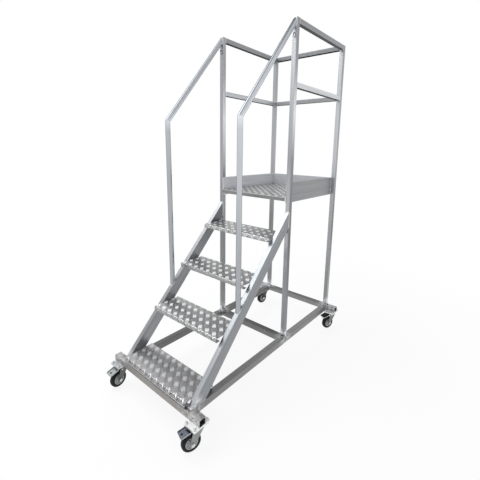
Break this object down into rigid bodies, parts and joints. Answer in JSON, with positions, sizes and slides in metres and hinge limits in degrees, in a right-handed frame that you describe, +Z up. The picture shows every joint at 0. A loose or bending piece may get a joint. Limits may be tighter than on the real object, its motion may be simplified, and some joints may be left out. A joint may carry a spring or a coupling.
{
  "type": "mobile platform ladder",
  "caption": "Welded aluminium mobile stair with chequer plate treads, guarded work platform, round handrails and braked swivel castors.",
  "frame": {"origin": "on the floor under the middle of the overall box", "axes": "+Z up, +Y from the foot of the stair to the platform, +X to the right seen from the foot of the stair"},
  "size_m": [0.77, 1.6043, 2.18],
  "materials": {
    "aluminium": "mill finish",
    "checker_plate": "chequered, bright",
    "zinc_steel": "zinc plated",
    "rim_plastic": "grey moulded",
    "tyre_rubber": "black rubber"
  },
  "bodies": {
    "frame": {"front_cross_tube": "aluminium", "rear_cross_tube": "aluminium", "middle_cross_tube": "aluminium", "side_beam_left": "aluminium", "side_beam_right": "aluminium", "post_front_left": "aluminium", "post_front_right": "aluminium", "post_rear_left": "aluminium", "post_rear_right": "aluminium", "top_rail_left": "aluminium", "top_rail_right": "aluminium", "top_rail_back": "aluminium", "mid_rail_left": "aluminium", "mid_rail_right": "aluminium", "mid_rail_back": "aluminium", "stringer_left": "aluminium", "stringer_right": "aluminium", "tread_1": "checker_plate", "tread_2": "checker_plate", "tread_3": "checker_plate", "tread_4": "checker_plate", "deck": "checker_plate", "deck_bearer": "aluminium", "toe_board_left": "aluminium", "toe_board_right": "aluminium", "toe_board_back": "aluminium", "handrail_left": "aluminium", "handrail_right": "aluminium", "castor_pad_front_left": "aluminium", "castor_plate_front_left": "zinc_steel", "castor_pad_front_right": "aluminium", "castor_plate_front_right": "zinc_steel", "castor_pad_rear_left": "aluminium", "castor_plate_rear_left": "zinc_steel", "castor_pad_rear_right": "aluminium", "castor_plate_rear_right": "zinc_steel"},
    "swivel_front_left": {"fork_front_left": "zinc_steel", "brake_front_left": "zinc_steel", "axle_front_left": "zinc_steel"},
    "wheel_front_left": {"rim_front_left": "rim_plastic", "tyre_front_left": "tyre_rubber"},
    "swivel_front_right": {"fork_front_right": "zinc_steel", "brake_front_right": "zinc_steel", "axle_front_right": "zinc_steel"},
    "wheel_front_right": {"rim_front_right": "rim_plastic", "tyre_front_right": "tyre_rubber"},
    "swivel_rear_left": {"fork_rear_left": "zinc_steel", "brake_rear_left": "zinc_steel", "axle_rear_left": "zinc_steel"},
    "wheel_rear_left": {"rim_rear_left": "rim_plastic", "tyre_rear_left": "tyre_rubber"},
    "swivel_rear_right": {"fork_rear_right": "zinc_steel", "brake_rear_right": "zinc_steel", "axle_rear_right": "zinc_steel"},
    "wheel_rear_right": {"rim_rear_right": "rim_plastic", "tyre_rear_right": "tyre_rubber"}
  },
  "joints": [
    {"name": "castor_swivel_front_left", "type": "hinge", "parent": "frame", "child": "swivel_front_left", "pos_m": [-0.345, -0.70849, 0.125], "axis": [0, 0, 1], "continuous": true},
    {"name": "wheel_spin_front_left", "type": "hinge", "parent": "swivel_front_left", "child": "wheel_front_left", "pos_m": [-0.34155, -0.74131, 0.05], "axis": [0.9945, 0.1045, 0], "continuous": true},
    {"name": "castor_swivel_front_right", "type": "hinge", "parent": "frame", "child": "swivel_front_right", "pos_m": [0.345, -0.70849, 0.125], "axis": [0, 0, 1], "continuous": true},
    {"name": "wheel_spin_front_right", "type": "hinge", "parent": "swivel_front_right", "child": "wheel_front_right", "pos_m": [0.3348, -0.73987, 0.05], "axis": [0.9511, -0.309, 0], "continuous": true},
    {"name": "castor_swivel_rear_left", "type": "hinge", "parent": "frame", "child": "swivel_rear_left", "pos_m": [-0.345, 0.75151, 0.125], "axis": [0, 0, 1], "continuous": true},
    {"name": "wheel_spin_rear_left", "type": "hinge", "parent": "swivel_rear_left", "child": "wheel_rear_left", "pos_m": [-0.35016, 0.71892, 0.05], "axis": [0.9877, -0.1564, 0], "continuous": true},
    {"name": "castor_swivel_rear_right", "type": "hinge", "parent": "frame", "child": "swivel_rear_right", "pos_m": [0.345, 0.75151, 0.125], "axis": [0, 0, 1], "continuous": true},
    {"name": "wheel_spin_rear_right", "type": "hinge", "parent": "swivel_rear_right", "child": "wheel_rear_right", "pos_m": [0.33371, 0.7205, 0.05], "axis": [0.9397, -0.342, 0], "continuous": true}
  ]
}
